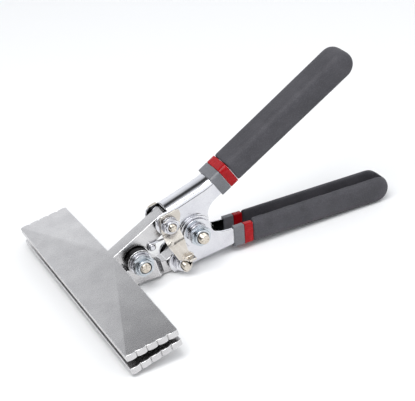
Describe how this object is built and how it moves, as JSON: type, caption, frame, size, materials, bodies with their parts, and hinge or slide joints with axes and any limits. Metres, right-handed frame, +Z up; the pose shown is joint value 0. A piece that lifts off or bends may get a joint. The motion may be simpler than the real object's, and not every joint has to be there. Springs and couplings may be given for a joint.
{
  "type": "hand seamer",
  "caption": "Sheet metal hand seamer: wide hinged steel jaws worked by two channel handles with vinyl grips, a thumb latch and an opening spring.",
  "frame": {"origin": "centre of the bounding box at its bottom, where the lower jaw's arm and the lower handle rest on the ground", "axes": "+X runs from the jaws to the handles, +Y is along the pivots away from the nuts, +Z is up towards the upper handle"},
  "size_m": [0.2054, 0.1524, 0.102],
  "materials": {
    "satin_steel": "satin forged and ground steel with fine scratches",
    "bright_zinc": "bright zinc plate on pressed steel",
    "blue_zinc": "bluish bright zinc plate on steel nuts",
    "yellow_zinc": "pale yellow zinc plate on steel bolts",
    "warm_nickel": "warm bright plate on pressed steel sheet",
    "grey_vinyl": "smooth grey dipped vinyl",
    "red_vinyl": "glossy red dipped vinyl",
    "charcoal_vinyl": "matte finely pebbled charcoal vinyl"
  },
  "bodies": {
    "lower_handle": {"lower_handle": "bright_zinc", "lower_collar": "grey_vinyl", "lower_grip_ring": "red_vinyl", "lower_grip": "charcoal_vinyl", "handle_pivot_bolt": "yellow_zinc", "handle_pivot_washer": "bright_zinc", "handle_pivot_lock_washer": "bright_zinc", "handle_pivot_nut": "blue_zinc", "handle_pivot_bush": "satin_steel", "lower_link_bolt": "yellow_zinc", "lower_link_nut": "bright_zinc", "lower_link_washer": "bright_zinc", "lower_link_spacer_near": "bright_zinc", "lower_link_spacer_far": "bright_zinc"},
    "upper_handle": {"upper_handle": "bright_zinc", "upper_collar": "grey_vinyl", "upper_grip_ring": "red_vinyl", "upper_grip": "charcoal_vinyl", "upper_link_bolt": "yellow_zinc", "upper_link_nut": "bright_zinc", "upper_link_washer": "bright_zinc", "upper_link_spacer_near": "bright_zinc", "upper_link_spacer_far": "bright_zinc", "opening_spring": "bright_zinc"},
    "upper_jaw": {"upper_jaw": "satin_steel", "spring_post": "bright_zinc"},
    "lower_jaw": {"lower_jaw": "satin_steel", "jaw_pivot_bolt": "yellow_zinc", "jaw_pivot_washer": "bright_zinc", "jaw_pivot_lock_washer": "bright_zinc", "jaw_pivot_nut": "blue_zinc"},
    "latch": {"latch": "warm_nickel"}
  },
  "joints": [
    {"name": "handle_hinge", "type": "hinge", "parent": "lower_handle", "child": "upper_handle", "pos_m": [-0.02571, 0.0055, 0.02296], "axis": [0, -1, 0], "range_deg": [0, 36]},
    {"name": "upper_jaw_link", "type": "hinge", "parent": "upper_handle", "child": "upper_jaw", "pos_m": [-0.04164, 0.0055, 0.03349], "axis": [0, -1, 0], "range_deg": [-30, 0], "deforming": ["opening_spring"]},
    {"name": "lower_jaw_link", "type": "hinge", "parent": "lower_handle", "child": "lower_jaw", "pos_m": [-0.03648, 0.0055, 0.00719], "axis": [0, -1, 0], "range_deg": [0, 30]},
    {"name": "latch_swing", "type": "hinge", "parent": "upper_handle", "child": "latch", "pos_m": [-0.04164, 0.0055, 0.03349], "axis": [0, -1, 0], "range_deg": [0, 9]}
  ],
  "couplings": [
    {"joint": "upper_jaw_link", "follows": "handle_hinge", "ratio": -0.8252},
    {"joint": "lower_jaw_link", "follows": "handle_hinge", "ratio": 0.8252},
    {"joint": "latch_swing", "follows": "handle_hinge", "ratio": 0.25}
  ]
}
